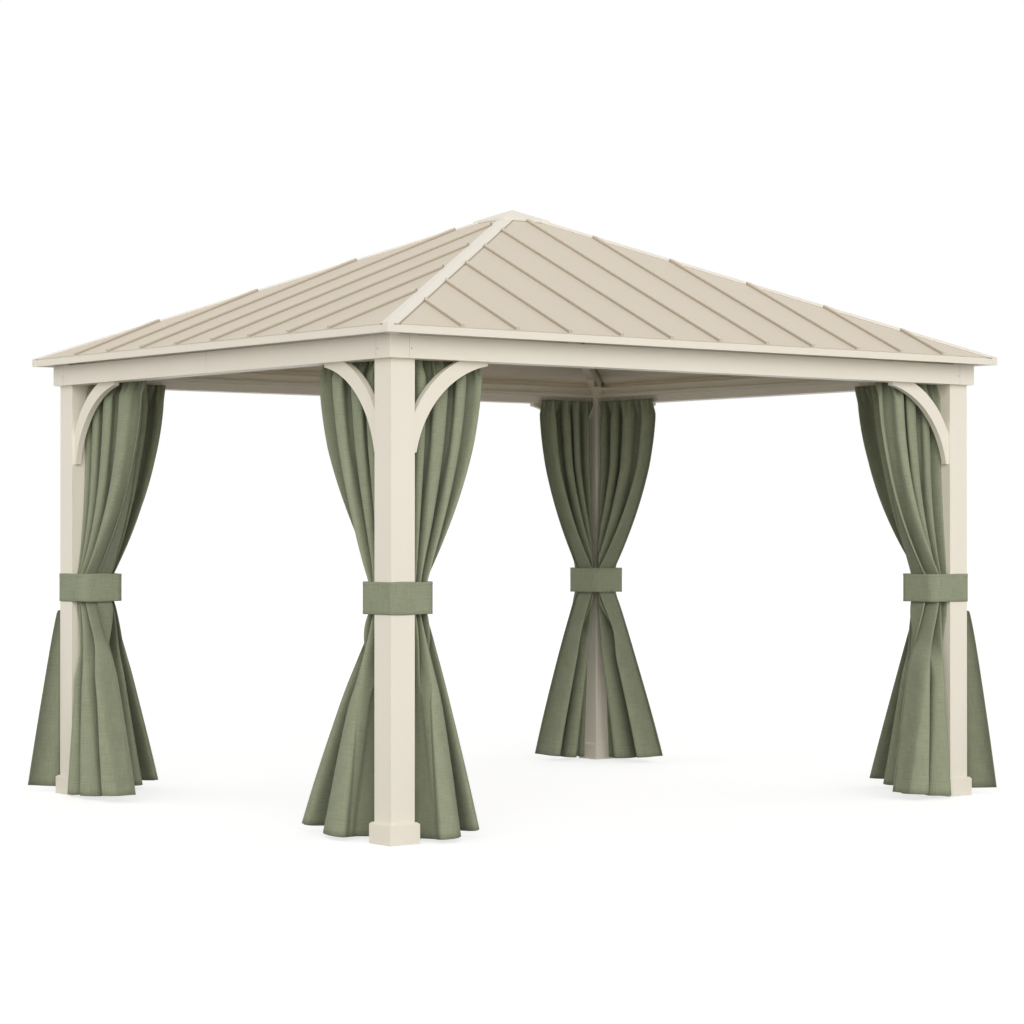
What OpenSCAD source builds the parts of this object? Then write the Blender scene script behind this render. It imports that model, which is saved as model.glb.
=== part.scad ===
// Hardtop garden gazebo: metal frame, standing-seam hip roof and tied-back corner curtains.
// Millimetres, +Z up, centred on the plan, standing on z = 0. The long side runs along X.

/* [Frame] */
// Distance between post centres along the long side
post_spacing_x = 3352; // [2400:2:4400]
// Distance between post centres along the short side
post_spacing_y = 2708; // [2000:2:3600]
// Side of the square post tube
post_side = 120; // [100:1:150]
// Wall of the post tube
post_wall = 2; // [1.5:0.1:4]
// Height of the post heads, which is the underside of the beams
head_height = 2016; // [1850:1:2500]
// Thickness of the foot plate welded into each post
foot_plate = 5; // [3:0.5:10]

/* [Base collar] */
// Outer side of the base collar
collar_side = 152; // [150:1:190]
// Height of the base collar
collar_height = 90; // [60:1:140]
// Sheet thickness of the base collar
collar_wall = 3; // [2:0.1:5]
// Bevel round the top of the base collar
collar_bevel = 8; // [4:0.5:12]

/* [Beams] */
// Width of the box beam and of the corner block
beam_width = 100; // [80:1:130]
// Height of the box beam
beam_height = 96; // [80:1:140]
// Wall of the box beam
beam_wall = 2; // [1.5:0.1:4]
// How far the beam stands proud of the post face
beam_proud = 25; // [10:1:35]

/* [Arch brackets] */
// Reach of the arch bracket along the beam and down the post
arch_reach = 390; // [250:1:480]
// Radius of both edges of the arch
arch_radius = 468; // [400:1:700]
// Distance from the corner to where the back of the arch meets the post and the beam
arch_back = 241; // [150:1:280]
// Width left at the two square ends of the arch
arch_tip = 16; // [8:1:30]
// Thickness of the arch bracket
arch_thickness = 30; // [16:1:40]

/* [Roof] */
// Reach of the eave beyond the face of the beams on the short sides
overhang_x = 70; // [50:1:160]
// Reach of the eave beyond the face of the beams on the long sides
overhang_y = 83; // [50:1:160]
// Height of the roof surface at the eave above the post heads
eave_rise = 133; // [125:1:200]
// Rise of the roof surface from eave to apex
roof_rise = 726; // [500:1:1000]
// Thickness of the roof panels
panel_thickness = 5; // [3:0.5:10]
// Spacing of the standing seams on the long faces
seam_pitch_long = 290; // [200:1:400]
// Spacing of the standing seams on the short faces
seam_pitch_short = 312; // [200:1:400]
// Width of a standing seam
seam_width = 16; // [8:1:24]
// Height of a standing seam
seam_height = 14; // [6:1:24]
// Least distance along the eave from a roof corner to the first standing seam
seam_edge = 270; // [150:5:400]

/* [Roof trim] */
// Height of the eave fascia below the panel
fascia_height = 30; // [20:1:60]
// Sheet thickness of the fascia, the hip caps and the apex cap
trim_sheet = 3; // [2:0.1:5]
// Inward return at the foot of the fascia
fascia_return = 24; // [12:1:40]
// Width of a hip cap, from edge to edge across the fold
hip_cap_width = 72; // [50:1:110]
// Width of each flange of the hip cap's bent-down tail
tail_flange = 30; // [15:1:50]
// Share of the roof's half length that the apex cap covers
apex_share = 0.08; // [0.05:0.005:0.12]

/* [Rafters] */
// Width of a hip rafter
rafter_width = 42; // [30:1:70]
// Depth of a hip rafter, square to its run
rafter_depth = 64; // [50:1:90]
// Half width of the hub where the rafters meet
hub_half = 60; // [50:1:80]

/* [Curtains] */
// Reach of a gathered curtain from the post centre along the long side
curtain_reach_x = 480; // [300:5:600]
// Reach of a gathered curtain from the post centre along the short side
curtain_reach_y = 600; // [300:5:640]
// Depth of the folds under the beam
fold_depth = 84; // [50:2:100]
// How far the hem spreads past the reach
hem_spread = 30; // [0:5:60]
// How far the hem swings out past the post face
hem_swing = 95; // [80:5:120]
// How far the outer folds of the hem lean towards the post
hem_lean = 30; // [0:5:100]
// How far they turn round the post where a curtain is wrapped round it
hem_turn = 260; // [100:10:300]
// Height of the hem above the ground
hem_lift = 12; // [5:1:60]
// Height of the lower edge of the tie band
band_low = 950; // [700:5:1300]
// Height of the tie band
band_height = 140; // [80:5:200]
// Room that the tie band leaves beside the post for the gathered cloth
bundle_room = 110; // [80:1:130]
// Thickness of the tie band
band_sheet = 4; // [2:0.5:8]
// Folds across a curtain
curtain_folds = 5; // [3:1:8]
// Thickness of the gathered cloth at its two side edges, as a share of its depth
curtain_edge = 0.4; // [0.3:0.05:0.8]
// Width of the curtain rail
rail_width = 26; // [18:1:34]
// Height of the curtain rail
rail_height = 20; // [14:1:30]

/* [Hidden] */
// Clearance where a sleeve or a soft piece meets its neighbour
fit = 0.3;
// Gap left between neighbouring panels under a hip cap
hip_gap = 10;
// Gap between the end of a standing seam and the trim above it
seam_gap = 2;
// Clearance between the folds of a curtain and the frame
cloth_gap = 6;
// Thickness of the fold that turns round the post
turned_fold = 24;

half_x = post_spacing_x / 2;
half_y = post_spacing_y / 2;
post_half = post_side / 2;
// Outer and inner faces of the beams, measured outward from the post centre
beam_out = post_half + beam_proud;
beam_in = beam_out - beam_width;
frame_x = half_x + beam_out;
frame_y = half_y + beam_out;
beam_top = head_height + beam_height;
// Inner face of an arch bracket, which stands under the middle of the beam
arch_face = arch_thickness / 2 - (beam_out + beam_in) / 2;

// Roof surface: a rectangle of eaves at eave_z and one apex above the centre
roof_x = frame_x + overhang_x;
roof_y = frame_y + overhang_y;
eave_z = head_height + eave_rise;
apex_z = eave_z + roof_rise;
pitch_long = atan(roof_rise / roof_y);
pitch_short = atan(roof_rise / roof_x);

// A hip runs from an eave corner to the apex: its run in plan, its length and its two angles
hip_run = norm([roof_x, roof_y]);
hip_length = norm([hip_run, roof_rise]);
hip_pitch = atan(roof_rise / hip_run);
hip_turn = atan(roof_y / roof_x);
// Fall of the short and long faces across a section square to the hip
fall_short = roof_rise * roof_y / (roof_x * hip_length);
fall_long = roof_rise * roof_x / (roof_y * hip_length);

// Corners by name, each with the signs of its X and Y
CORNERS = [["front_left", -1, -1], ["front_right", 1, -1], ["back_left", -1, 1], ["back_right", 1, 1]];
SIDES = ["front", "back", "left", "right"];
CORNER_NODES = ["post_", "base_collar_", "corner_block_", "brackets_", "hip_rafter_", "hip_cap_",
                "curtains_", "tie_band_"];
SIDE_NODES = ["beam_", "roof_", "fascia_"];

frame_paint = [0.90, 0.87, 0.80];
roof_paint = [0.82, 0.77, 0.68];
curtain_cloth = [0.50, 0.55, 0.44];

// Puts a piece made for the back right corner at another corner
module at_corner(c) {
    mirror([c[1] < 0 ? 1 : 0, 0, 0]) mirror([0, c[2] < 0 ? 1 : 0, 0]) children();
}

// Puts a piece made about a post centre, with X and Y pointing into the gazebo, at that corner
module at_post(c) {
    at_corner(c) translate([half_x, half_y, 0]) rotate(180) children();
}

// Puts a piece made for the front side, facing -Y, at another side
module at_side(s) {
    if (s == "front") children();
    if (s == "back") mirror([0, 1, 0]) children();
    if (s == "left") rotate(-90) children();
    if (s == "right") mirror([1, 0, 0]) rotate(-90) children();
}

// True for the two long sides
function is_long(s) = s == "front" || s == "back";

// A square block centred in plan
module block(side, height) {
    translate([-side / 2, -side / 2, 0]) cube([side, side, height]);
}

// Square tube post, closed at the foot by its welded plate; its head is notched to seat the beams,
// so that its inner corner stands up between them
module post() color(frame_paint) {
    plate = collar_side - 2 * collar_wall - 2;
    notch = [post_side + beam_out, beam_width, beam_height + 1];
    difference() {
        union() {
            block(post_side, beam_top);
            block(plate, foot_plate);
        }
        translate([0, 0, foot_plate]) block(post_side - 2 * post_wall, beam_top);
        translate([-beam_out, -beam_out, head_height]) {
            cube(notch);
            mirror([1, -1, 0]) cube(notch);
        }
    }
}

// Folded sleeve with a bevelled top that hides the foot plate
module base_collar() color(frame_paint) {
    outer = collar_side / 2;
    shoulder = collar_height - collar_bevel;
    profile = [[-outer, 0], [outer, 0], [outer, shoulder], [outer - collar_bevel, collar_height],
               [collar_bevel - outer, collar_height], [-outer, shoulder]];
    difference() {
        intersection() {
            rotate([90, 0, 0]) linear_extrude(collar_side, center = true) polygon(profile);
            rotate([90, 0, 90]) linear_extrude(collar_side, center = true) polygon(profile);
        }
        translate([0, 0, -1]) block(collar_side - 2 * collar_wall, shoulder - collar_wall + 1);
        translate([0, 0, -1]) block(post_side + 2 * fit, collar_height + 2);
    }
}

// Open-topped folded box on the outer corner of a post head
module corner_block() color(frame_paint) {
    translate([-beam_out, -beam_out, head_height]) difference() {
        cube([beam_width, beam_width, beam_height]);
        translate([beam_wall, beam_wall, beam_wall])
            cube([beam_width - 2 * beam_wall, beam_width - 2 * beam_wall, beam_height]);
    }
}

// Box beam that butts between two corner blocks
module beam(s) color(frame_paint) {
    span = 2 * ((is_long(s) ? frame_x : frame_y) - beam_width);
    face = is_long(s) ? frame_y : frame_x;
    translate([-span / 2, -face, head_height]) difference() {
        cube([span, beam_width, beam_height]);
        translate([-1, beam_wall, beam_wall])
            cube([span + 2, beam_width - 2 * beam_wall, beam_height - 2 * beam_wall]);
    }
}

// Quarter arch between the face of a post and the underside of a beam
module arch_outline() {
    difference() {
        intersection() {
            arch_edge(0, arch_back);
            translate([0, -arch_reach]) square(arch_reach);
        }
        arch_edge(arch_reach, arch_tip);
    }
}

// Disc centred on the diagonal of the corner, with its edge a across and b down from that corner
module arch_edge(a, b) {
    centre = (a + b + sqrt(2 * pow(arch_radius, 2) - pow(a - b, 2))) / 2;
    translate([centre, -centre]) circle(arch_radius, $fn = 120);
}

module bracket() {
    translate([post_half, arch_face, head_height])
        rotate([90, 0, 0]) linear_extrude(arch_thickness) arch_outline();
}

// The two arch brackets of one post
module brackets() color(frame_paint) {
    bracket();
    mirror([1, -1, 0]) bracket();
}

// The plan of one roof face, laid flat: the eave on X and the slope along Y
module face_outline(half, slope, inset) {
    edge = norm([half, slope]);
    side = inset * edge / slope;
    polygon([[side - half, 0], [half - side, 0], [0, slope * (1 - side / half)]]);
}

// Roof face with its standing seams, which stop short of the hip caps and the apex cap
module roof(s) color(roof_paint) {
    half = is_long(s) ? roof_x : roof_y;
    run = is_long(s) ? roof_y : roof_x;
    pitch = is_long(s) ? pitch_long : pitch_short;
    seam_pitch = is_long(s) ? seam_pitch_long : seam_pitch_short;
    slope = norm([run, roof_rise]);
    // An odd count puts a seam on the middle of the face, an even one puts a pan there
    room = (half - seam_edge) / seam_pitch;
    seams = is_long(s) ? 2 * floor(room) + 1 : 2 * floor(room + 0.5);
    translate([0, -run, eave_z]) rotate([pitch, 0, 0]) {
        translate([0, 0, -panel_thickness]) linear_extrude(panel_thickness)
            face_outline(half, slope, hip_gap);
        linear_extrude(seam_height) intersection() {
            face_outline(half, slope, hip_cap_width / 2 + seam_gap);
            for (i = [0 : seams - 1])
                translate([(i - (seams - 1) / 2) * seam_pitch - seam_width / 2, 0])
                    square([seam_width, slope * (1 - apex_share) - seam_gap]);
        }
    }
}

// Eave trim: an upright face under the panel edge with a return at its foot, mitred at the corners
module fascia(s) color(frame_paint) {
    half = is_long(s) ? roof_x : roof_y;
    run = is_long(s) ? roof_y : roof_x;
    pitch = is_long(s) ? pitch_long : pitch_short;
    top = -panel_thickness / cos(pitch);
    foot = top - fascia_height;
    profile = [[0, foot], [0, top], [trim_sheet, top + trim_sheet * tan(pitch)],
               [trim_sheet, foot + trim_sheet], [fascia_return, foot + trim_sheet], [fascia_return, foot]];
    translate([0, -run, eave_z]) intersection() {
        rotate([90, 0, 90]) linear_extrude(2 * half, center = true) polygon(profile);
        translate([0, 0, foot - 1]) linear_extrude(fascia_height + 2 * panel_thickness)
            polygon([[-half, 0], [half, 0], [half - fascia_return, fascia_return],
                     [fascia_return - half, fascia_return]]);
    }
}

// Stands a section square to the hip of the back right corner: X of the section points to the
// short face, Y points up, and the extrusion runs from the eave corner to the apex
module along_hip() {
    translate([roof_x, roof_y, eave_z]) rotate(180 + hip_turn) rotate([0, -hip_pitch, 0])
        rotate([90, 0, 90]) children();
}

// Height of a face in the section square to the hip, moved off by a thickness
function face_level(x, off) =
    x > 0 ? -fall_short * x + off * norm([1, fall_short]) : fall_long * x + off * norm([1, fall_long]);

// Folded strip over a hip with a tail bent down over the corner of the fascia
module hip_cap() color(frame_paint) {
    wing = hip_cap_width / 2;
    upper = hip_length * (1 - apex_share / 2);
    tail_foot = eave_z - panel_thickness / cos(pitch_long) - fascia_height;
    section = [[-wing, face_level(-wing, 0)], [0, 0], [wing, face_level(wing, 0)],
               [wing, face_level(wing, trim_sheet)], [0, face_level(0, trim_sheet)],
               [-wing, face_level(-wing, trim_sheet)]];
    intersection() {
        along_hip() translate([0, 0, -2 * wing]) linear_extrude(upper + 2 * wing) polygon(section);
        translate([0, 0, eave_z - 2 * wing])
            cube([roof_x + trim_sheet, roof_y + trim_sheet, roof_rise + 4 * wing]);
    }
    translate([roof_x, roof_y, tail_foot]) linear_extrude(eave_z - tail_foot)
        difference() {
            translate([-tail_flange, -tail_flange]) square(tail_flange + trim_sheet);
            translate([-2 * tail_flange, -2 * tail_flange]) square(2 * tail_flange);
        }
}

// Rectangle with upright sides and a pyramid on top
module peaked_block(x, y, side, rise) {
    corners = [[-x, -y], [x, -y], [x, y], [-x, y]];
    polyhedron(
        points = concat([for (c = corners) [c[0], c[1], 0]], [for (c = corners) [c[0], c[1], side]],
                        [[0, 0, side + rise]]),
        faces = concat([[0, 1, 2, 3]], [for (i = [0 : 3]) [i, i + 4, (i + 1) % 4 + 4, (i + 1) % 4]],
                       [for (i = [0 : 3]) [i + 4, 8, (i + 1) % 4 + 4]]));
}

// Small hipped cap that rests on the tops of the four hip caps
module apex_cap() color(frame_paint) {
    x = roof_x * apex_share;
    y = roof_y * apex_share;
    rise = roof_rise * apex_share;
    seat = trim_sheet / cos(pitch_long) + fit;
    // Scale of the hollow under the cap, which keeps its slopes
    inner = 1 - trim_sheet / y;
    translate([0, 0, apex_z - rise]) difference() {
        translate([0, 0, fit]) peaked_block(x, y, seat + 2 * trim_sheet, rise);
        translate([0, 0, -trim_sheet])
            peaked_block(x * inner, y * inner, trim_sheet + seat + rise * (1 - inner), rise * inner);
    }
}

// Hip rafter, backed to fit under both panels, with a seat welded to it over the corner block
module hip_rafter() color(frame_paint) {
    wing = rafter_width / 2;
    ridge = -panel_thickness * norm([1, fall_long]) - fit;
    section = [[-wing, face_level(-wing, -panel_thickness)],
               [-hip_gap / 2, face_level(-hip_gap / 2, -panel_thickness)],
               [hip_gap / 2, face_level(hip_gap / 2, -panel_thickness)],
               [wing, face_level(wing, -panel_thickness)], [wing, ridge - rafter_depth],
               [-wing, ridge - rafter_depth]];
    // The welded foot stands on a plate over the post head, where the hip passes the post centre
    plate = beam_out + post_half;
    foot = 2 * rafter_width;
    reach = (roof_x - half_x) * cos(hip_turn) + (roof_y - half_y) * sin(hip_turn);
    foot_top = eave_z + (reach + foot / 2) * tan(hip_pitch)
               - (rafter_depth + panel_thickness) / cos(hip_pitch) + foot_plate;
    intersection() {
        along_hip() linear_extrude(hip_length) polygon(section);
        difference() {
            translate([0, 0, beam_top])
                cube([roof_x - fascia_return - fit, roof_y - fascia_return - fit, roof_rise + eave_rise]);
            hub_prism(apex_z);
        }
    }
    translate([frame_x - plate / 2, frame_y - plate / 2, beam_top]) block(plate, foot_plate);
    translate([roof_x, roof_y, beam_top]) rotate(hip_turn)
        translate([-reach - foot / 2, foot_plate - rafter_width / 2, 0])
            cube([foot, rafter_width - 2 * foot_plate, foot_top - beam_top]);
}

// Plan of the hub: a face square to each hip
module hub_outline() {
    intersection() {
        rotate(hip_turn) square([2 * hub_half, 6 * hub_half], center = true);
        rotate(-hip_turn) square([2 * hub_half, 6 * hub_half], center = true);
    }
}

module hub_prism(height) {
    linear_extrude(2 * height) hub_outline();
}

// Hub block where the four hip rafters meet
module apex_hub() color(frame_paint) {
    top = apex_z - hub_half / sin(hip_turn) * tan(pitch_long) - 2 * panel_thickness;
    drop = hub_half * tan(hip_pitch) + (rafter_depth + panel_thickness) / cos(hip_pitch);
    foot = apex_z - drop - foot_plate;
    translate([0, 0, foot]) linear_extrude(top - foot) hub_outline();
}

// Tracks fixed to the inner faces of the four beams, from post to post
module curtain_rails() color(frame_paint) {
    drop = beam_height / 2 + rail_height / 2;
    for (s = SIDES) at_side(s) {
        span = 2 * ((is_long(s) ? half_x : half_y) - post_half - fit);
        face = (is_long(s) ? half_y : half_x) + beam_in;
        translate([-span / 2, -face, beam_top - drop]) difference() {
            cube([span, rail_width, rail_height]);
            translate([-1, rail_width / 3, -1]) cube([span + 2, rail_width / 3, rail_height * 0.7]);
        }
    }
}

// Rounded square loop about a post and its bundle; the outer corner is creased on the post
module loop_outline(grow) {
    near = post_half + fit + grow;
    far = post_half + bundle_room + grow;
    round_r = 0.4 * bundle_room + grow;
    polygon(concat(
        [[-near, -near]],
        [for (a = [-90 : 15 : 0]) [far - round_r + round_r * cos(a), -near + round_r + round_r * sin(a)]],
        [for (a = [0 : 15 : 90]) [far - round_r + round_r * cos(a), far - round_r + round_r * sin(a)]],
        [for (a = [90 : 15 : 180]) [-near + round_r + round_r * cos(a), far - round_r + round_r * sin(a)]]));
}

module tie_band() color(curtain_cloth) {
    translate([0, 0, band_low]) linear_extrude(band_height) difference() {
        loop_outline(band_sheet);
        loop_outline(0);
    }
}

// Section of the curtain along the X rail at one height, about a post centre: [z, outer face, inner face,
// near end, far end, turn of the outer folds, thickness of the near edge, corner of the near end]
band_top = band_low + band_height;
rail_foot = beam_top - beam_height / 2 - rail_height / 2;
cloth_top = rail_foot - fit;
bundle = [4 - post_half, post_half - 2, post_half + fit + cloth_gap / 2, post_half + bundle_room - cloth_gap,
          0, curtain_edge, 1];
function ease(t) = 1 - pow(1 - t, 2);
function mix(a, b, t) = a + (b - a) * t;
function clamp(t) = max(0, min(1, t));

// Section above the band: the folds keep clear of the brackets and tuck in behind the beam at the top
tuck = 10 * cloth_gap;
upper_heights = [band_top, each [for (t = [0.25 : 0.25 : 0.75]) mix(band_top, head_height - tuck, t)],
                 head_height - tuck, head_height - 2, cloth_top];
function upper_section(z, reach) = let (
    t = (z - band_top) / (cloth_top - band_top),
    open_face = mix(bundle[0], arch_face + cloth_gap, ease(clamp(1.4 * t))),
    outer = mix(open_face, 1 - beam_in, clamp((z - head_height + tuck) / (tuck - 2))),
    inner = mix(bundle[1], arch_face + cloth_gap + fold_depth, t))
    [z, outer, inner, mix(bundle[2], post_half + 4, t), mix(bundle[3], reach, ease(t)),
     0, curtain_edge, (outer + inner) / 2];

// Section below the band, for t from 0 at the band to 1 at the hem: once the outer folds hang clear of the
// post, they turn round it
function lower_section(t, reach, turn) = let (
    flare = pow(t, 0.87),
    past = clamp(4 * t),
    collar = collar_side / 2,
    outer = mix(bundle[0], -post_half - hem_swing, flare),
    inner = mix(bundle[1], collar - 2, t),
    guard = -mix(post_half + 2, collar + cloth_gap, t),
    turned_edge = ((outer + inner) / 2 - guard + turned_fold) / ((inner - outer) / 2))
    [mix(band_low, hem_lift, t), outer, inner, mix(bundle[2], collar + cloth_gap, t),
     mix(bundle[3], reach + hem_spread, flare), turn * clamp((t - 0.25) / 0.75),
     mix(curtain_edge, turned_edge, past), mix(bundle[6], guard, past)];

// Ring of points round one section: fluted on both sides, thinner towards both ends
columns = 4 * curtain_folds;
function swell(t, edge) = max(edge, sqrt(1 - pow(2 * t - 1, 4)));
function flute(t, side) = 1 - 0.15 * (1 - side * cos(360 * curtain_folds * t)) * clamp(2.5 * t);
function ring(s) = let (middle = (s[1] + s[2]) / 2, half = (s[2] - s[1]) / 2) concat(
    [for (i = [0 : columns]) let (t = i / columns, edge = t < 0.5 ? s[6] : curtain_edge)
        [mix(s[3], s[4], t) - s[5], middle - half * swell(t, edge) * flute(t, 1), s[0]]],
    [for (i = [columns : -1 : 0]) let (t = i / columns)
        [mix(s[3], s[4], t), middle + half * swell(t, curtain_edge) * flute(t, -1), s[0]]],
    [[s[3] - cloth_gap / 3, s[7], s[0]]]);

// Solid through a row of sections, from the lowest up
module pleated(levels) {
    n = 2 * columns + 3;
    m = len(levels);
    polyhedron(
        points = [for (s = levels) each ring(s)],
        faces = concat(
            [[for (i = [0 : n - 1]) i]],
            [for (k = [0 : m - 2], i = [0 : n - 1]) let (low = k * n, up = low + n, j = (i + 1) % n)
                each [[low + i, up + i, up + j], [low + i, up + j, low + j]]],
            [[for (i = [n - 1 : -1 : 0]) (m - 1) * n + i]]));
}

// One curtain; its solid parts inside the tie band, where a gap as small as the fit can't be seen
module curtain(reach, turn) color(curtain_cloth) {
    waist = band_low + band_height / 2;
    pleated([for (t = [1 : -0.25 : 0]) lower_section(t, reach, turn), concat(waist - fit / 2, bundle)]);
    pleated([concat(waist + fit / 2, bundle), for (z = upper_heights) upper_section(z, reach)]);
}

// The two curtains gathered at one post, with the turns of their outer folds
module curtains(turn_x, turn_y) {
    curtain(curtain_reach_x, turn_x);
    mirror([1, -1, 0]) curtain(curtain_reach_y, turn_y);
}

for (c = CORNERS) {
    at_post(c) post();
    at_post(c) base_collar();
    at_post(c) corner_block();
    at_post(c) brackets();
    at_corner(c) hip_rafter();
    at_corner(c) hip_cap();
    at_post(c)
        curtains(c[0] == "back_left" ? hem_turn : hem_lean, c[0] == "front_right" ? hem_turn : hem_lean);
    at_post(c) tie_band();
}
for (s = SIDES) {
    at_side(s) beam(s);
    at_side(s) roof(s);
    at_side(s) fascia(s);
}
apex_hub();
apex_cap();
curtain_rails();
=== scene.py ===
"""Looks of a hardtop garden gazebo: cloth curtains, fixings, paint and a plain white studio."""

import math
import random
from collections import namedtuple

import bpy
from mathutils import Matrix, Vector, noise


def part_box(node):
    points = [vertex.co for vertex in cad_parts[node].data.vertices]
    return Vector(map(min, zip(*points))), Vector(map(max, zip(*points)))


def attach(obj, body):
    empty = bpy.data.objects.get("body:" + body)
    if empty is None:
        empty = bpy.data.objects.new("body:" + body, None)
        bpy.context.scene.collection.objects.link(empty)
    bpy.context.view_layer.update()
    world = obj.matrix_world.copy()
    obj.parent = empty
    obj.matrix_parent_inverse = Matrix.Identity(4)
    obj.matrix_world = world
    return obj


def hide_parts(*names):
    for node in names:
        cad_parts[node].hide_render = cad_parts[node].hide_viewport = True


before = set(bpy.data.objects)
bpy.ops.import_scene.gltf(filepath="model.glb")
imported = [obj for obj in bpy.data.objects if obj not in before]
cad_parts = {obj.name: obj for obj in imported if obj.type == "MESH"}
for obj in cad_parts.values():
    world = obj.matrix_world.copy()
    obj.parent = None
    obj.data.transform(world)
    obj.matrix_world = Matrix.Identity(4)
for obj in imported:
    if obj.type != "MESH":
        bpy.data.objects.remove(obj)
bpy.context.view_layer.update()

# Camera: where it stands, which way it looks (degrees) and its lens (millimetres)
CAMERA_AT = Vector((-8.1845, -10.4867, 1.3067))
CAMERA_YAW, CAMERA_PITCH = 52.029, 0.3674
CAMERA_LENS = 94.688

# Corners by name, each with the signs of its X and Y
CORNERS = {"front_left": (-1, -1), "front_right": (1, -1), "back_left": (-1, 1), "back_right": (1, 1)}
SIDES = ("front", "back", "left", "right")

# Frame sizes that the cloth and the fixings meet, in metres from a post centre
POST_HALF = 0.060
BEAM_OUT = 0.085
BLOCK = 0.100

# Curtain sections about a post, in metres; the far ends of the hem and the heading follow the reach
Section = namedtuple("Section", "near outer inner")
BUNDLE = Section(0.0633, -0.056, 0.058)
HEADING = Section(0.064, -0.014, 0.070)
HEM = Section(0.082, -0.155, 0.074)
BUNDLE_FAR, HEM_SPREAD = 0.164, 0.030
REACH = {"x": 0.480, "y": 0.600}

# Cloth, hems and hooks, in metres; plain cloth takes a share of a hem's thickness
CLOTH, PLAIN_CLOTH = 0.0018, 0.55
HEM_HEIGHT, TOP_HEM, HEM_RISE = 0.070, 0.03, 0.028
HOOK_DROP, HOOK_INSET = 0.020, 0.012
RAIL_MIDDLE = 0.028
CURTAIN_WIDTH = 0.95
TUCK, TUCKED_FACE, TUCK_GAP = 0.060, 0.016, 0.003
CORNER_GAP, CORNER_ROOM = 0.006, 0.135

# Folds, as shares of a curtain's height or width, or of a fold's depth
EDGE_DEPTH, NEAR_DEPTH = 0.4, 0.9
FLARE_POWER, SWING_POWER, OPENING = 0.87, 0.45, 1.4
FOLD_LOOP, FOLD_ROUNDNESS = 0.15, 0.55
PLEAT_SOFTNESS, BROAD_SOFTNESS = 0.012, 0.03
BROAD_SHARE, BROAD_START = 0.94, 0.42
GATHER_START, GATHER_RANGE = 0.88, 0.12
PINCH_DEPTH, PINCH_FADE = 0.10, 0.09
BULGE_HEIGHT, RISE_START, SIDE_HEM = 0.6, 0.3, 0.025
# Painted shade in the creases as a share of the cloth's tone; the crests get half as much painted highlight
CREASE_SHADE = 0.24

# Turn of a fold round its post: the gap it keeps (metres), how soon it is full, the turn (metres) that makes
# a flap, its share at the band, and where it starts and ends below the band
TURN_CLEAR, TURN_SOON, TURNED = 0.004, 0.6, 0.1
TURN_AT_BAND, TURN_START, TURN_RANGE = 0.44, 0.0178, 0.035
FLAP, FLAP_FOLDS, FLAP_FADE, FLAP_START = 0.30, 1.5, 0.1, 0.015

# How each curtain hangs: its pleats above the band, its broad folds below it, how much these widen
# towards the post, where the first one starts, how far they turn round the post (metres), and the
# shares that the hem and the heading take of their reach
Hang = namedtuple("Hang", "pleats flares widening first turn hem heading")
HANGS = {("front_left", "x"): Hang(4.05, 1.46, 1.5, 0.06, 0.03, 0.75, 0.98),
         ("front_left", "y"): Hang(4.05, 1.46, 1.5, 0.06, 0.03, 0.92, 1.0),
         ("front_right", "x"): Hang(4.05, 1.9, 1.3, 0.10, 0.03, 0.80, 1.0),
         ("front_right", "y"): Hang(4.6, 2.5, 1.0, 0.42, 0.25, 0.90, 1.0),
         ("back_left", "x"): Hang(4.6, 2.5, 1.0, 0.42, 0.27, 0.92, 1.0),
         ("back_left", "y"): Hang(4.05, 2.9, 1.0, 0.08, 0.03, 0.95, 1.0),
         ("back_right", "x"): Hang(4.05, 2.4, 1.0, 0.10, 0.03, 0.77, 0.91),
         ("back_right", "y"): Hang(4.05, 2.4, 1.0, 0.10, 0.03, 0.76, 0.88)}

# Tie band loop about a post: faces toward the post, toward the bundle, and the rounding
BAND_NEAR, BAND_FAR, BAND_ROUND = 0.0623, 0.172, 0.046
BAND_CLOTH = 0.0026


def make_camera():
    data = bpy.data.cameras.new("camera")
    data.lens, data.clip_end = CAMERA_LENS, 300
    camera = bpy.data.objects.new("camera", data)
    bpy.context.scene.collection.objects.link(camera)
    yaw, pitch = math.radians(CAMERA_YAW), math.radians(CAMERA_PITCH)
    ahead = Vector((math.cos(yaw) * math.cos(pitch), math.sin(yaw) * math.cos(pitch), math.sin(pitch)))
    camera.location = CAMERA_AT
    camera.rotation_euler = ahead.to_track_quat("-Z", "Y").to_euler()
    bpy.context.scene.camera = camera


# Materials

ROOF_X, ROOF_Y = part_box("roof_right")[1].x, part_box("roof_back")[1].y
ROOF_HIP = math.hypot(ROOF_X, ROOF_Y)
HIP_CAP_HALF, APEX_SHARE = 0.036, 0.08
# Width and darkness of the painted shade along the hip caps and the apex cap
LAP_SHADE_WIDTH, LAP_SHADE_DARKNESS = 0.008, 0.50
STITCH, THREAD = 0.0016, 0.0016
# Eave's underside, roof's rise, and the heights above the underside over which the painted shade on the
# seams' sides fades, with its darkness at foot and top
ROOF_EAVE_Z, ROOF_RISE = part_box("roof_front")[0].z, 0.726
SEAM_SHADE_HEIGHTS, SEAM_SHADE_DARKNESS = (0.007, 0.018), (0.48, 0.0)


def linear(r, g, b):
    """A screen colour of 0 to 255 as the linear colour that a shader takes."""
    def one(c):
        c /= 255
        return c / 12.92 if c <= 0.04045 else ((c + 0.055) / 1.055) ** 2.4
    return (one(r), one(g), one(b), 1.0)


def seen_white(tree):
    """A socket that is 1 for rays that show the background: camera, gloss and glass."""
    path, total = tree.nodes.new("ShaderNodeLightPath"), None
    for kind in ("Is Camera Ray", "Is Glossy Ray", "Is Transmission Ray"):
        if total is None:
            total = path.outputs[kind]
            continue
        either = tree.nodes.new("ShaderNodeMath")
        either.operation = "MAXIMUM"
        tree.links.new(total, either.inputs[0])
        tree.links.new(path.outputs[kind], either.inputs[1])
        total = either.outputs[0]
    return total


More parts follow.
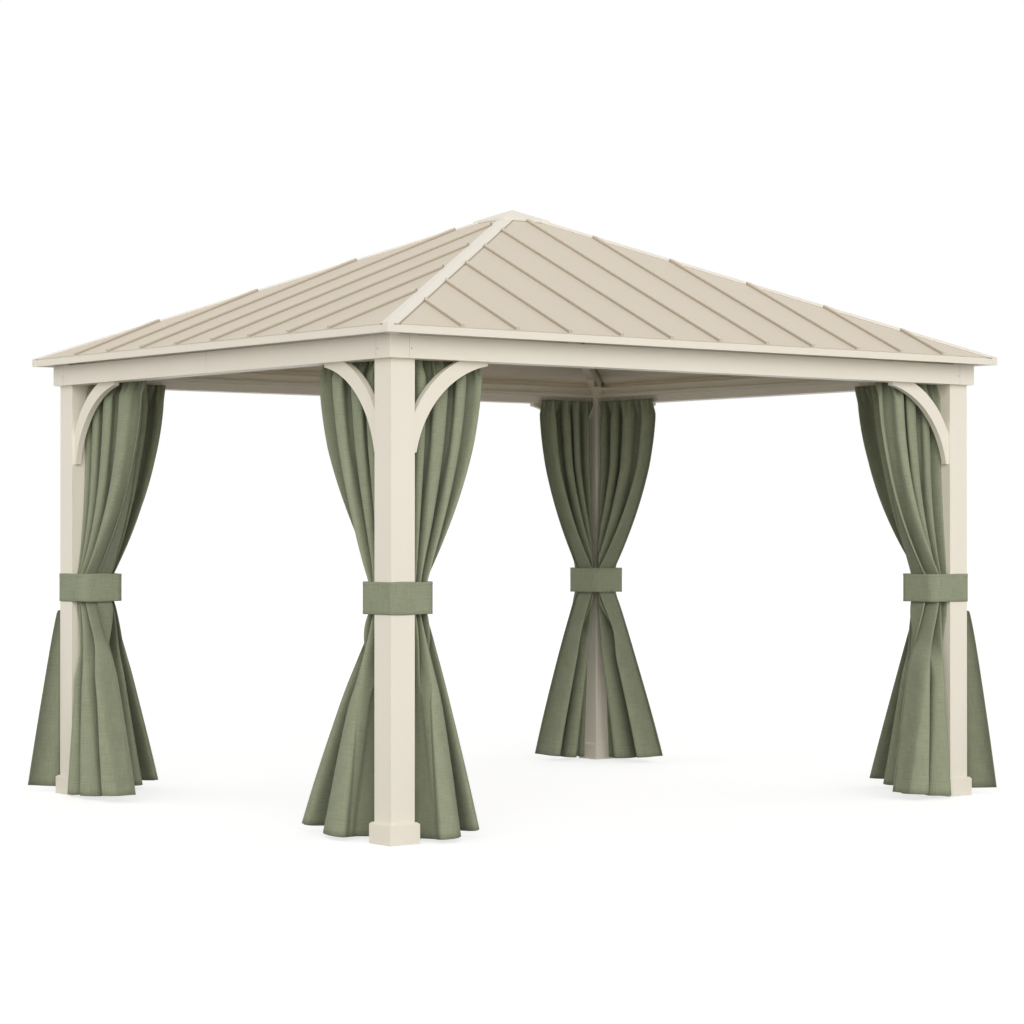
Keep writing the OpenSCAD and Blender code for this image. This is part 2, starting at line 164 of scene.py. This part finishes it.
class Shader:
    """A material's node tree with short ways to add and join nodes."""

    def __init__(self, name):
        self.material = bpy.data.materials.new(name)
        self.material.use_nodes = True
        self.tree = self.material.node_tree
        self.surface = self.tree.nodes["Principled BSDF"]

    def add(self, kind, **settings):
        node = self.tree.nodes.new("ShaderNode" + kind)
        for key, value in settings.items():
            setattr(node, key, value)
        return node

    def join(self, source, target):
        self.tree.links.new(source, target)

    def coordinates(self, space="Object", scale=(1, 1, 1)):
        mapping = self.add("Mapping")
        mapping.inputs["Scale"].default_value = scale
        self.join(self.add("TexCoord").outputs[space], mapping.inputs["Vector"])
        return mapping.outputs["Vector"]

    def noise(self, vector, scale, detail=2.0, rough=0.5):
        node = self.add("TexNoise")
        node.inputs["Scale"].default_value = scale
        node.inputs["Detail"].default_value = detail
        node.inputs["Roughness"].default_value = rough
        self.join(vector, node.inputs["Vector"])
        return node.outputs["Fac"]

    def spread(self, value, low, high, start=0.25, end=0.75):
        """The value moved from start..end to low..high."""
        node = self.add("MapRange")
        for key, number in (("From Min", start), ("From Max", end), ("To Min", low), ("To Max", high)):
            node.inputs[key].default_value = number
        self.join(value, node.inputs["Value"])
        return node.outputs["Result"]

    def math(self, operation, a, b=None):
        node = self.add("Math", operation=operation)
        for socket, value in zip(node.inputs, (a, b)):
            if isinstance(value, (int, float)):
                socket.default_value = value
            elif value is not None:
                self.join(value, socket)
        return node.outputs["Value"]

    def scaled(self, colour, value):
        """The colour times a value."""
        node = self.add("Mix", data_type="RGBA", blend_type="MULTIPLY")
        node.inputs["Factor"].default_value = 1.0
        grey = self.add("CombineColor")
        for channel in ("Red", "Green", "Blue"):
            self.join(value, grey.inputs[channel])
        sockets = [s for s in node.inputs if s.type == "RGBA"]
        sockets[0].default_value = colour
        self.join(grey.outputs["Color"], sockets[1])
        return [s for s in node.outputs if s.type == "RGBA"][0]

    def bump(self, height, distance, strength=1.0):
        node = self.add("Bump")
        node.inputs["Strength"].default_value = strength
        node.inputs["Distance"].default_value = distance
        self.join(height, node.inputs["Height"])
        self.join(node.outputs["Normal"], self.surface.inputs["Normal"])

    def finish(self, colour, roughness):
        self.join(colour, self.surface.inputs["Base Color"])
        self.join(roughness, self.surface.inputs["Roughness"])
        return self.material


def paint(name, colour, roughness=0.45, mottle=0.015, grain=0.00012):
    """Powder coat: faint mottling and a fine orange-peel grain."""
    shader = Shader(name)
    place = shader.coordinates()
    tone = shader.spread(shader.noise(place, 2.3, 4), 1 - mottle, 1 + mottle)
    gloss = shader.spread(shader.noise(place, 60, 2), roughness - 0.04, roughness + 0.04)
    shader.bump(shader.noise(place, 700, 1), grain)
    return shader.finish(shader.scaled(colour, tone), gloss)


def roof_sheet(name, colour, axis, pitch, shift):
    """Painted roof pans, each with its own slight tone and a faint streak down the slope. Painted shade
    darkens the feet of the standing seams and the laps along the hip caps and the apex cap."""
    shader = Shader(name)
    place = shader.coordinates()
    split, facing = shader.add("SeparateXYZ"), shader.add("SeparateXYZ")
    shader.join(place, split.inputs["Vector"])
    shader.join(shader.add("NewGeometry").outputs["True Normal"], facing.inputs["Vector"])
    seam_side = shader.math("GREATER_THAN", shader.math("ABSOLUTE", facing.outputs[axis]), 0.7)
    x, y = (shader.math("ABSOLUTE", split.outputs[key]) for key in ("X", "Y"))
    across = shader.math("SUBTRACT", shader.math("MULTIPLY", x, ROOF_Y / ROOF_HIP),
                         shader.math("MULTIPLY", y, ROOF_X / ROOF_HIP))
    from_hip = shader.math("ABSOLUTE", across)
    # Painted shade: a thin dark line on the pans beside each hip cap and beside the apex cap
    hip_lap_shade = shader.spread(from_hip, 1.0, 0.0, HIP_CAP_HALF + LAP_SHADE_WIDTH / 2, HIP_CAP_HALF + LAP_SHADE_WIDTH)
    run_x, run_y = shader.math("DIVIDE", x, ROOF_X), shader.math("DIVIDE", y, ROOF_Y)
    from_apex = shader.math("MAXIMUM", run_x, run_y)
    apex_lap_shade = shader.spread(from_apex, 1.0, 0.0, APEX_SHARE + LAP_SHADE_WIDTH / 2, APEX_SHARE + LAP_SHADE_WIDTH)
    lap_shade = shader.math("MULTIPLY", shader.math("MAXIMUM", hip_lap_shade, apex_lap_shade), LAP_SHADE_DARKNESS)
    pan_z = shader.spread(run_y if axis == "X" else run_x, ROOF_EAVE_Z + ROOF_RISE, ROOF_EAVE_Z, 0, 1)
    # Painted shade on the seams' sides, darkest at their foot and fading towards their top
    foot = shader.spread(shader.math("SUBTRACT", split.outputs["Z"], pan_z), *SEAM_SHADE_DARKNESS, *SEAM_SHADE_HEIGHTS)
    painted_shade = shader.math("MAXIMUM", lap_shade, shader.math("MULTIPLY", seam_side, foot))
    along = shader.math("ADD", shader.math("DIVIDE", split.outputs[axis], pitch), shift)
    pan = shader.add("TexWhiteNoise", noise_dimensions="1D")
    shader.join(shader.math("FLOOR", along), pan.inputs["W"])
    stretched = (40, 1.5, 1.5) if axis == "X" else (1.5, 40, 1.5)
    streak = shader.spread(shader.noise(shader.coordinates(scale=stretched), 1.0, 3), -0.012, 0.012)
    tone = shader.math("ADD", shader.spread(pan.outputs["Value"], 0.985, 1.015, 0, 1), streak)
    # The painted shade on the seams and along the caps darkens the pan's tone
    tone = shader.math("MULTIPLY", tone, shader.math("SUBTRACT", 1.0, painted_shade))
    gloss = shader.spread(shader.noise(place, 45, 2), 0.48, 0.58)
    shader.bump(shader.noise(place, 600, 1), 0.0001)
    return shader.finish(shader.scaled(colour, tone), gloss)


def linen(name, colour, stitch_low, stitch_high, creased):
    """Slub linen on UVs in metres: long thin slubs both ways, a fine weave and stitched hems, and on
    folds painted shade in the creases and a painted highlight on the crests."""
    shader = Shader(name)
    across = shader.noise(shader.coordinates("UV", (260, 14, 1)), 1.0, 3, 0.6)
    along = shader.noise(shader.coordinates("UV", (14, 260, 1)), 1.0, 3, 0.6)
    cloudy = shader.noise(shader.coordinates("UV", (9, 9, 1)), 1.0, 2)
    slub = shader.math("ADD", shader.spread(across, -0.13, 0.13), shader.spread(along, -0.13, 0.13))
    tone = shader.math("ADD", shader.math("ADD", slub, shader.spread(cloudy, -0.05, 0.05)), 1.0)
    split = shader.add("SeparateXYZ")
    shader.join(shader.add("UVMap").outputs["UV"], split.inputs["Vector"])
    for level in (stitch_low, stitch_high):
        near = shader.math("COMPARE", split.outputs["Y"], level)
        near.node.inputs[2].default_value = STITCH
        tone = shader.math("SUBTRACT", tone, shader.math("MULTIPLY", near, 0.08))
    # Painted shade where a fold's face turns inward, and a painted highlight where it faces out
    if creased:
        ridge = shader.add("VectorMath", operation="DOT_PRODUCT")
        shader.join(shader.add("NewGeometry").outputs["Normal"], ridge.inputs[0])
        shader.join(shader.add("Attribute", attribute_name="crease").outputs["Vector"], ridge.inputs[1])
        shade = shader.spread(ridge.outputs["Value"], 1 - 2 * CREASE_SHADE, 1 + CREASE_SHADE / 2, -1, 1)
        tone = shader.math("MULTIPLY", tone, shade)
    threads = []
    for channel in ("X", "Y"):
        angle = shader.math("MULTIPLY", split.outputs[channel], 2 * math.pi / THREAD)
        threads.append(shader.math("SINE", angle))
    weave = shader.math("ADD", shader.math("MULTIPLY", shader.math("MULTIPLY", *threads), 0.25), slub)
    shader.bump(weave, 0.0005, 0.5)
    shader.surface.inputs["Sheen Weight"].default_value = 0.05
    shader.surface.inputs["Sheen Roughness"].default_value = 0.6
    shader.surface.inputs["Specular IOR Level"].default_value = 0.2
    return shader.finish(shader.scaled(colour, tone), shader.spread(across, 0.85, 0.95))


# Mesh helpers

def new_piece(name, vertices, faces, material, smooth=True):
    mesh = bpy.data.meshes.new(name)
    mesh.from_pydata([tuple(v) for v in vertices], [], faces)
    mesh.validate()
    for polygon in mesh.polygons:
        polygon.use_smooth = smooth
    mesh.materials.append(material)
    piece = bpy.data.objects.new(name, mesh)
    bpy.context.scene.collection.objects.link(piece)
    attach(piece, "root")
    return piece


def grid_faces(rows, columns, wrap=False):
    """Quads over a grid of points held row by row; wrap joins the last column to the first."""
    last = columns if wrap else columns - 1
    return [(r * columns + c, r * columns + (c + 1) % columns,
             (r + 1) * columns + (c + 1) % columns, (r + 1) * columns + c)
            for r in range(rows - 1) for c in range(last)]


def set_uvs(piece, uvs):
    layer = piece.data.uv_layers.new(name="UVMap")
    for loop in piece.data.loops:
        layer.data[loop.index].uv = uvs[loop.vertex_index]


def set_creases(piece, creases):
    """Keeps on each vertex the way its fold swings out, for the painted shade in the creases and the painted
    highlight on the crests.
    """
    layer = piece.data.attributes.new("crease", "FLOAT_VECTOR", "POINT")
    for value, crease in zip(layer.data, creases):
        value.vector = crease


def thicken(piece, thickness, weights):
    """Gives a sheet its thickness; weights are each vertex's share of it."""
    group = piece.vertex_groups.new(name="thickness")
    for index, weight in enumerate(weights):
        group.add([index], weight, "REPLACE")
    solid = piece.modifiers.new("thickness", "SOLIDIFY")
    solid.thickness, solid.offset = thickness, 0
    solid.vertex_group = "thickness"


def mix(a, b, t):
    return a + (b - a) * t


def clamp(t):
    return max(0.0, min(1.0, t))


def smooth_step(t):
    t = clamp(t)
    return t * t * (3 - 2 * t)


# Curtains

POST_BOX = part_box("post_back_right")
HALF_X = (POST_BOX[0].x + POST_BOX[1].x) / 2
HALF_Y = (POST_BOX[0].y + POST_BOX[1].y) / 2
RAIL_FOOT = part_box("curtain_rails")[0].z
BAND_LOW, BAND_TOP = (corner.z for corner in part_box("tie_band_back_right"))
HEM_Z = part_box("curtains_back_right")[0].z
CURTAIN_TOP = RAIL_FOOT - HOOK_DROP
BEAM_FOOT, BEAM_TOP = (corner.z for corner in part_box("beam_front"))


def at_corner(corner, axis, u, v, z):
    """A point u along a rail from a post centre and v inward of it, in the shared frame."""
    sx, sy = CORNERS[corner]
    if axis == "y":
        u, v = v, u
    return Vector((sx * (HALF_X - u), sy * (HALF_Y - v), z))


def section_at(z, axis, hang):
    """A gathered curtain's near end, far end, outer face, inner face and turn at a height."""
    if z < BAND_LOW:
        t = (BAND_LOW - z) / (BAND_LOW - HEM_Z)
        flare = t ** FLARE_POWER
        swing = flare ** SWING_POWER if hang.turn > TURNED else flare
        turn = hang.turn * mix(TURN_AT_BAND, 1.0, t) * smooth_step((t - TURN_START) / TURN_RANGE)
        return (mix(BUNDLE.near, HEM.near, t),
                mix(BUNDLE_FAR, hang.hem * (REACH[axis] + HEM_SPREAD), flare),
                mix(BUNDLE.outer, HEM.outer, swing), mix(BUNDLE.inner, HEM.inner, t), turn)
    t = max(0.0, (z - BAND_TOP) / (RAIL_FOOT - BAND_TOP))
    open_face = mix(BUNDLE.outer, HEADING.outer, 1 - (1 - min(1, OPENING * t)) ** 2)
    return (mix(BUNDLE.near, HEADING.near, t),
            mix(BUNDLE_FAR, hang.heading * REACH[axis], 1 - (1 - t) ** 2),
            mix(open_face, TUCKED_FACE, clamp((z - BEAM_FOOT + TUCK) / (TUCK - TUCK_GAP))),
            mix(BUNDLE.inner, HEADING.inner, t), 0.0)


def fold(x, softness):
    """One fold per unit of x: 1 on its round crest and about -1 in the narrower valley."""
    wave = math.sqrt(math.sin(math.pi * x) ** 2 + softness) / math.sqrt(1 + softness)
    return mix(2 * wave - 1, -math.cos(2 * math.pi * x), FOLD_ROUNDNESS)


def curtain_heights():
    """Heights of a curtain's rows, closest together just below the band."""
    low, middle, high = 44, 6, 46
    below = [mix(BAND_LOW, HEM_Z, (i / low) ** 1.5) for i in range(low, 0, -1)]
    band = [mix(BAND_LOW, BAND_TOP, i / middle) for i in range(middle)]
    above = [mix(BAND_TOP, CURTAIN_TOP, i / high) for i in range(high + 1)]
    return below + band + above


def make_curtain(corner, axis, material):
    """One gathered curtain: pleats that tighten into the band and flare into broad folds below."""
    seed = 7 * list(CORNERS).index(corner) + (0 if axis == "x" else 3) + 1
    dice = random.Random(seed)
    hang = HANGS[corner, axis]
    wrapped = hang.turn > TURNED
    gathers, pinches = 15, 11
    shift = 0.40 + dice.uniform(-0.06, 0.06)
    lean = dice.uniform(-0.12, 0.12)
    heights_of = [dice.uniform(0.78, 1.0) for _ in range(7)]
    broad_of = [dice.uniform(0.90, 1.0) for _ in range(5)]
    columns = 151
    heights = curtain_heights()
    vertices, uvs, weights, creases = [], [], [], []
    outward = at_corner(corner, axis, 0, -1, 0) - at_corner(corner, axis, 0, 0, 0)
    for z in heights:
        near, far, outer, inner, turned = section_at(z, axis, hang)
        clear = near + TURN_CLEAR
        below = (BAND_LOW - z) / (BAND_LOW - HEM_Z)
        above = (z - BAND_TOP) / (CURTAIN_TOP - BAND_TOP)
        flare = BROAD_SHARE * smooth_step(below / BROAD_START)
        gather = smooth_step((above - GATHER_START) / GATHER_RANGE)
        pinch = PINCH_DEPTH * math.exp(-max(0.0, below, above) / PINCH_FADE)
        edge = NEAR_DEPTH if wrapped else mix(NEAR_DEPTH, EDGE_DEPTH, smooth_step(4 * below))
        # Beside the band, the cloth bulges into the inner corner of its loop
        bulge = clamp(1 - max(0.0, above / BULGE_HEIGHT, below))
        for c in range(columns):
            s = c / (columns - 1)
            corner_room = max(inner, min(mix(near, far, s) - CORNER_GAP, CORNER_ROOM))
            inward = mix(inner, corner_room, bulge)
            middle, depth = (outer + inward) / 2, (inward - outer) / 2 - CLOTH
            warped = (s + 0.08 * math.sin(math.pi * s) + 0.03 * math.sin(2 * math.pi * s + seed)
                      + 0.012 * math.sin(5 * math.pi * s + 2 * seed))
            x = hang.pleats * warped + shift + lean * above * (1 - s)
            pleat = -1 + (fold(x, PLEAT_SOFTNESS) + 1) * heights_of[int(math.floor(x)) + 1]
            spaced = s ** hang.widening + 0.02 * math.sin(2 * math.pi * s + seed)
            wide = hang.flares * spaced + hang.first
            broad = -1 + (fold(wide, BROAD_SOFTNESS) + 1) * broad_of[int(math.floor(wide)) + 1]
            out = mix(pleat, broad, flare)
            out = mix(out, 0.45 * out + 0.5 * math.sin(2 * math.pi * gathers * s + seed), gather)
            out += pinch * math.sin(2 * math.pi * pinches * s + 2 * seed)
            out += 0.05 * noise.noise(Vector((6 * s, 2.2 * z, 3.7 * seed)))
            out = max(-1.0, min(1.0, 0.96 * out))
            swell = max(edge if s < 0.5 else EDGE_DEPTH, math.sqrt(max(0.0, 1 - (2 * s - 1) ** 4)))
            v = middle - depth * swell * out
            # The sheet meanders, so that each crest is wider than its neck
            loop = mix(math.sin(4 * math.pi * x) / hang.pleats,
                       math.sin(4 * math.pi * wide) / hang.flares, flare)
            # A fold turns round the post only where it stands clear of the post's outer face
            turning = clamp((-v - clear) / (TURN_SOON * max(0.001, -outer - clear)))
            if wrapped:
                lap = clamp((FLAP + FLAP_FADE - s) / FLAP_FADE) * smooth_step(below / FLAP_START)
                wave = 0.6 + 0.4 * math.cos(2 * math.pi * FLAP_FOLDS * s / FLAP)
                v = mix(v, -clear - max(0.0, -outer - clear - CLOTH) * wave, lap)
                out = mix(out, 2 * wave - 1, lap)
                turning = clamp(1 - s / FLAP) * clamp((-v - clear) / TURN_CLEAR)
            u = mix(near, far, s + FOLD_LOOP * loop * math.sin(math.pi * s)) - turned * turning
            # The hem rises where the cloth swings aside
            aside = max(s * s, turning if wrapped else 0.0)
            rise = HEM_RISE * aside * smooth_step((below - RISE_START) / (1 - RISE_START))
            vertices.append(at_corner(corner, axis, u, v, z + rise))
            uvs.append((s * CURTAIN_WIDTH, z))
            creases.append(outward * out)
            hem = (z < HEM_Z + HEM_HEIGHT or z > CURTAIN_TOP - TOP_HEM
                   or s < SIDE_HEM or s > 1 - SIDE_HEM)
            weights.append(1.0 if hem else PLAIN_CLOTH)
    name = f"curtain_{axis}_{corner}"
    piece = new_piece(name, vertices, grid_faces(len(heights), columns), material)
    set_uvs(piece, uvs)
    set_creases(piece, creases)
    thicken(piece, 2 * CLOTH, weights)
    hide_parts(f"curtains_{corner}")
    return piece


def make_hooks(corner, axis, material):
    """Wire hooks that hang a curtain's heading from its rail."""
    wire, sides, count = 0.0012, 6, 9
    path = [(-0.004, CURTAIN_TOP - 0.014), (-0.004, CURTAIN_TOP + 0.002),
            (-0.002, CURTAIN_TOP + 0.006), (0.001, CURTAIN_TOP + 0.009), (0.001, RAIL_FOOT - 0.001)]
    first, last = HEADING.near + HOOK_INSET, HANGS[corner, axis].heading * REACH[axis] - HOOK_INSET
    vertices, faces = [], []
    for i in range(count):
        u = mix(first, last, i / (count - 1))
        start = len(vertices)
        for dv, z in path:
            for k in range(sides):
                a = 2 * math.pi * k / sides
                du = wire * math.cos(a)
                vertices.append(at_corner(corner, axis, u + du, RAIL_MIDDLE + dv + wire * math.sin(a), z))
        faces += [tuple(start + i for i in f) for f in grid_faces(len(path), sides, wrap=True)]
        faces += [tuple(start + k for k in range(sides))]
        faces += [tuple(start + (len(path) - 1) * sides + k for k in range(sides))]
    return new_piece(f"hooks_{axis}_{corner}", vertices, faces, material)


def band_loop():
    """The loop of a tie band in plan, counter-clockwise from the crease on the post's outer corner."""
    near, far, r = -BAND_NEAR, BAND_FAR, BAND_ROUND
    points = [(near, near)]
    for cu, cv, first in ((far - r, near + r, -90), (far - r, far - r, 0), (near + r, far - r, 90)):
        for a in range(0, 91, 9):
            turn = math.radians(first + a)
            points.append((cu + r * math.cos(turn), cv + r * math.sin(turn)))
    points.append((near, near))
    spaced = []
    for (a, b), (c, d) in zip(points, points[1:]):
        steps = max(1, round(math.hypot(c - a, d - b) / 0.006))
        spaced += [(mix(a, c, i / steps), mix(b, d, i / steps)) for i in range(steps)]
    return spaced


def make_band(corner, material):
    """Tie band: a strap pulled round the post and both curtains."""
    loop = band_loop()
    length = sum(math.dist(a, b) for a, b in zip(loop, loop[1:] + loop[:1]))
    rows = 15
    vertices, uvs, weights = [], [], []
    for r in range(rows):
        t = r / (rows - 1)
        for i, (u, v) in enumerate(loop):
            s = i / len(loop)
            edge = 0.0022 * noise.noise(Vector((7 * s, 0.0, 3.1 * list(CORNERS).index(corner))))
            ripple = edge * (2 * t - 1) * (1 if abs(2 * t - 1) > 0.6 else 0.5)
            z = mix(BAND_LOW + 0.002, BAND_TOP - 0.002, t) + ripple
            vertices.append(at_corner(corner, "x", u, v, z))
            uvs.append((s * length, t * (BAND_TOP - BAND_LOW)))
            weights.append(1.0 if r in (0, 1, rows - 2, rows - 1) else 0.7)
    faces = grid_faces(rows, len(loop), wrap=True)
    piece = new_piece(f"tie_strap_{corner}", vertices, faces, material)
    set_uvs(piece, uvs)
    thicken(piece, BAND_CLOTH, weights)
    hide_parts(f"tie_band_{corner}")
    return piece, length


# Fixings

def screw(centre, out, vertices, faces, radius=0.004, height=0.002, sides=12):
    """Adds a low domed screw head with a hexagon socket, standing out from a face."""
    out = Vector(out)
    across = out.orthogonal().normalized()
    up = out.cross(across)
    rings = [(1.0, 0.0), (1.0, 0.35), (0.86, 0.78), (0.58, 1.0), (0.40, 1.0), (0.36, 0.35)]
    start = len(vertices)
    for share, level in rings:
        for k in range(sides):
            a = 2 * math.pi * k / sides
            vertices.append(centre + out * level * height
                            + (across * math.cos(a) + up * math.sin(a)) * radius * share)
    faces += [tuple(start + i for i in f) for f in grid_faces(len(rings), sides, wrap=True)]
    faces += [tuple(start + k for k in reversed(range(sides)))]
    faces += [tuple(start + (len(rings) - 1) * sides + k for k in range(sides))]


def make_screws(corner, material):
    """Screws of one corner: one through the end of the long beam and one through the corner block."""
    vertices, faces = [], []
    sx, sy = CORNERS[corner]
    level, joint = mix(BEAM_FOOT, BEAM_TOP, 0.42), BLOCK - BEAM_OUT
    for axis, u, outward in (("x", joint + 0.010, (0, sy, 0)), ("y", joint - 0.013, (sx, 0, 0))):
        screw(at_corner(corner, axis, u, -BEAM_OUT, level), outward, vertices, faces)
    return new_piece(f"screws_{corner}", vertices, faces, material, smooth=False)


def strip(vertices, faces, points, out, lift):
    """Adds a thin flat bar over four corner points, standing a lift out of its face."""
    start = len(vertices)
    out = Vector(out) * lift
    vertices += [Vector(p) - out for p in points] + [Vector(p) + out for p in points]
    faces += [tuple(start + i for i in f) for f in
              ((3, 2, 1, 0), (4, 5, 6, 7), (0, 1, 5, 4), (1, 2, 6, 5), (2, 3, 7, 6), (3, 0, 4, 7))]


def make_joint_lines(side, material):
    """Hairline joints of one beam: at both corner blocks, and at the middle of a short beam."""
    long_side = side in ("front", "back")
    corners = [c for c in CORNERS if side in c]
    axis = "x" if long_side else "y"
    half, line, lift = (HALF_X if long_side else HALF_Y), 0.0009, 0.0002
    vertices, faces = [], []
    spots = [(c, BLOCK - BEAM_OUT) for c in corners]
    if not long_side:
        spots.append((corners[0], half))
    for corner, u in spots:
        sx, sy = CORNERS[corner]
        outward = (0, sy, 0) if long_side else (sx, 0, 0)
        face = [at_corner(corner, axis, u + du, -BEAM_OUT, z)
                for du, z in ((-line, BEAM_FOOT), (line, BEAM_FOOT),
                              (line, BEAM_TOP), (-line, BEAM_TOP))]
        foot = [at_corner(corner, axis, u + du, v, BEAM_FOOT)
                for du, v in ((-line, -BEAM_OUT), (line, -BEAM_OUT),
                              (line, -POST_HALF), (-line, -POST_HALF))]
        strip(vertices, faces, face, outward, lift)
        strip(vertices, faces, foot, (0, 0, -1), lift)
    return new_piece(f"joint_lines_{side}", vertices, faces, material, smooth=False)


# Studio

def make_floor():
    """Wide pale floor: white to the camera, darker to bounced light, with the object's soft shadow."""
    shader = Shader("floor")
    nodes = shader.tree.nodes
    ground, glow = shader.add("BsdfDiffuse"), shader.add("Emission")
    ground.inputs["Color"].default_value = (FLOOR_BOUNCE, FLOOR_BOUNCE, 0.97 * FLOOR_BOUNCE, 1)
    glow.inputs["Color"].default_value = (1, 1, 1, 1)
    glow.inputs["Strength"].default_value = FLOOR_GLOW
    both, pick = shader.add("AddShader"), shader.add("MixShader")
    shader.join(ground.outputs[0], both.inputs[0])
    shader.join(glow.outputs[0], both.inputs[1])
    shader.join(seen_white(shader.tree), pick.inputs[0])
    shader.join(ground.outputs[0], pick.inputs[1])
    shader.join(both.outputs[0], pick.inputs[2])
    nodes.remove(shader.surface)
    shader.join(pick.outputs[0], nodes["Material Output"].inputs["Surface"])
    sides, radius = 64, 60.0
    mesh = bpy.data.meshes.new("floor")
    turns = [2 * math.pi * k / sides for k in range(sides)]
    rim = [(radius * math.cos(a), radius * math.sin(a), FLOOR_Z) for a in turns]
    mesh.from_pydata(rim, [], [tuple(range(sides))])
    mesh.materials.append(shader.material)
    floor = bpy.data.objects.new("floor", mesh)
    bpy.context.scene.collection.objects.link(floor)


def make_world():
    """White to the camera; to everything else a soft dome, brighter near the horizon than overhead."""
    world = bpy.data.worlds.new("studio")
    bpy.context.scene.world = world
    world.use_nodes = True
    nodes, links = world.node_tree.nodes, world.node_tree.links
    nodes.clear()
    split, place = nodes.new("ShaderNodeSeparateXYZ"), nodes.new("ShaderNodeTexCoord")
    links.new(place.outputs["Generated"], split.inputs[0])
    level = nodes.new("ShaderNodeMapRange")
    for key, number in (("From Min", 0.0), ("From Max", 1.0),
                        ("To Min", SKY_HORIZON), ("To Max", SKY_ZENITH)):
        level.inputs[key].default_value = number
    links.new(split.outputs["Z"], level.inputs["Value"])
    dome, white = nodes.new("ShaderNodeBackground"), nodes.new("ShaderNodeBackground")
    dome.inputs["Color"].default_value = (1, 1, 1, 1)
    links.new(level.outputs["Result"], dome.inputs["Strength"])
    white.inputs["Color"].default_value = (1, 1, 1, 1)
    white.inputs["Strength"].default_value = 1.0
    pick = nodes.new("ShaderNodeMixShader")
    links.new(seen_white(world.node_tree), pick.inputs[0])
    links.new(dome.outputs[0], pick.inputs[1])
    links.new(white.outputs[0], pick.inputs[2])
    links.new(pick.outputs[0], nodes.new("ShaderNodeOutputWorld").inputs["Surface"])


def make_sun(name, towards, strength, spread):
    """A wide soft lamp that shines along a direction."""
    data = bpy.data.lights.new(name, "SUN")
    data.energy, data.angle = strength, math.radians(spread)
    lamp = bpy.data.objects.new(name, data)
    lamp.rotation_euler = Vector(towards).to_track_quat("-Z", "Y").to_euler()
    bpy.context.scene.collection.objects.link(lamp)


SKY_HORIZON, SKY_ZENITH = 1.0, 0.45
FLOOR_BOUNCE, FLOOR_GLOW, FLOOR_Z = 0.48, 0.70, -0.0005
KEY_STRENGTH, KEY_SPREAD = 1.6, 50

bpy.context.scene.view_settings.view_transform = "Standard"
make_camera()
make_world()
make_floor()
make_sun("key", (0.50, 0.74, -0.28), KEY_STRENGTH, KEY_SPREAD)

CREAM = linear(239, 231, 215)
FRAME_PAINT = paint("frame_paint", CREAM)
TRIM_PAINT = paint("trim_paint", linear(237, 229, 214), 0.42)
RAIL_PAINT = paint("rail_paint", linear(226, 219, 205), 0.42)
SCREW_PAINT = paint("screw_paint", linear(205, 196, 178), 0.35, 0.03)
JOINT_SHADE = paint("joint_shade", linear(206, 197, 179), 0.7, 0.03)
HOOK_WIRE = paint("hook_wire", linear(200, 200, 198), 0.3, 0.02)
ROOF_TAN = linear(217, 205, 185)
ROOF_LONG = roof_sheet("roof_long", ROOF_TAN, "X", 0.290, 0.0)
ROOF_SHORT = roof_sheet("roof_short", ROOF_TAN, "Y", 0.312, 0.5)
SAGE = linear(146, 151, 125)
CURTAIN_LINEN = linen("curtain_linen", SAGE, HEM_Z + HEM_HEIGHT, CURTAIN_TOP - TOP_HEM, creased=True)
BAND_LINEN = linen("band_linen", SAGE, 0.012, BAND_TOP - BAND_LOW - 0.012, creased=False)

TRIM_NODES = ("hip_cap_", "fascia_", "apex_cap")
for name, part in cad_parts.items():
    part.data.materials.clear()
    if name in ("roof_front", "roof_back"):
        finish = ROOF_LONG
    elif name in ("roof_left", "roof_right"):
        finish = ROOF_SHORT
    elif name.startswith(TRIM_NODES):
        finish = TRIM_PAINT
    elif name == "curtain_rails":
        finish = RAIL_PAINT
    elif name.startswith(("curtains_", "tie_band_")):
        finish = CURTAIN_LINEN
    else:
        finish = FRAME_PAINT
    part.data.materials.append(finish)

for corner in CORNERS:
    for axis in REACH:
        hooks = make_hooks(corner, axis, HOOK_WIRE)
        curtain = make_curtain(corner, axis, CURTAIN_LINEN)
    strap, strap_length = make_band(corner, BAND_LINEN)
    make_screws(corner, SCREW_PAINT)
for side in SIDES:
    make_joint_lines(side, JOINT_SHADE)

bpy.context.view_layer.update()
